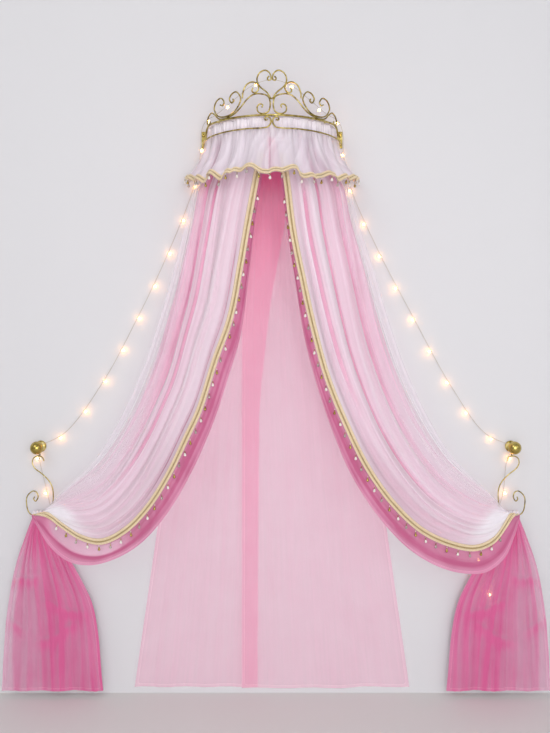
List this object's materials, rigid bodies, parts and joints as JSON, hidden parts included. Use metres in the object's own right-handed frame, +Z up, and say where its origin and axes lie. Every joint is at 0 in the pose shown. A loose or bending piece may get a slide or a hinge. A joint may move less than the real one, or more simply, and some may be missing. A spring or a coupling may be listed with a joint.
{
  "type": "bed crown canopy",
  "caption": "Wall-mounted half-round wrought crown with a gathered valance, sheer drapes swagged to swinging wall hooks, back panels and a string of globe lights.",
  "frame": {"origin": "the middle of the crown's rear bar, on the face that lies against the wall", "axes": "+Z up, +Y into the wall and so the canopy stands out along -Y, +X to the viewer's right"},
  "size_m": [2.3708, 0.4108, 2.5977],
  "materials": {
    "crown_gold": "antique gold, satin",
    "knob_gold": "polished",
    "steel": "satin",
    "white_voile": "sheer voile",
    "pink_voile": "sheer voile",
    "pale_pink_voile": "matt voile",
    "gold_braid": "corded braid with glass and pearl beads",
    "light_wire": "clear sleeved wire with warm white globes",
    "case_plastic": "satin",
    "cell_sleeve": "satin"
  },
  "bodies": {
    "frame": {"lower_rail_left": "crown_gold", "lower_rail_right": "crown_gold", "large_scroll_left": "crown_gold", "large_scroll_right": "crown_gold", "heart_left": "crown_gold", "heart_right": "crown_gold", "c_scroll_left": "crown_gold", "c_scroll_right": "crown_gold", "crest_scroll_left": "crown_gold", "crest_scroll_right": "crown_gold", "upper_rail": "crown_gold", "curtain_rail": "crown_gold", "rail_spacer_centre": "crown_gold", "rail_spacer_left": "crown_gold", "rail_spacer_right": "crown_gold", "rear_bar": "crown_gold", "wall_plate_left": "crown_gold", "wall_plate_right": "crown_gold", "thumb_screw_left": "knob_gold", "thumb_screw_right": "knob_gold", "knob_left": "knob_gold", "knob_right": "knob_gold", "rosette_left": "knob_gold", "rosette_right": "knob_gold", "plate_screw_left_1": "steel", "plate_screw_left_2": "steel", "plate_screw_right_1": "steel", "plate_screw_right_2": "steel", "stud_left": "steel", "stud_right": "steel", "valance": "white_voile", "white_drape_left": "white_voile", "white_drape_right": "white_voile", "white_tail_left": "white_voile", "white_tail_right": "white_voile", "pink_drape_left": "pink_voile", "pink_drape_right": "pink_voile", "pink_tail_left": "pink_voile", "pink_tail_right": "pink_voile", "back_panel_left": "pale_pink_voile", "back_panel_right": "pale_pink_voile", "valance_braid": "gold_braid", "drape_braid_left": "gold_braid", "drape_braid_right": "gold_braid", "light_string_left": "light_wire", "light_string_crown": "light_wire", "light_string_right": "light_wire", "battery_tray": "case_plastic", "lead_gland": "case_plastic", "cell_1": "cell_sleeve", "cell_2": "cell_sleeve", "cell_3": "cell_sleeve"},
    "hook_left": {"hook_left": "knob_gold"},
    "hook_right": {"hook_right": "knob_gold"},
    "case_lid": {"battery_lid": "case_plastic"},
    "switch_slide": {"case_switch": "case_plastic"}
  },
  "joints": [
    {"name": "hook_left_swing", "type": "hinge", "parent": "frame", "child": "hook_left", "pos_m": [-1.013, 0, -1.34], "axis": [0, 1, 0], "range_deg": [-10, 10], "deforming": ["white_drape_left", "pink_drape_left", "drape_braid_left", "white_tail_left", "pink_tail_left"]},
    {"name": "hook_right_swing", "type": "hinge", "parent": "frame", "child": "hook_right", "pos_m": [1.045, 0, -1.34], "axis": [0, 1, 0], "range_deg": [-10, 10], "deforming": ["white_drape_right", "pink_drape_right", "drape_braid_right", "white_tail_right", "pink_tail_right"]},
    {"name": "case_lid_slide", "type": "slide", "parent": "frame", "child": "case_lid", "axis": [0, 0, 1], "range_m": [0, 0.03]},
    {"name": "switch_travel", "type": "slide", "parent": "frame", "child": "switch_slide", "axis": [1, 0, 0], "range_m": [0, 0.003]}
  ]
}
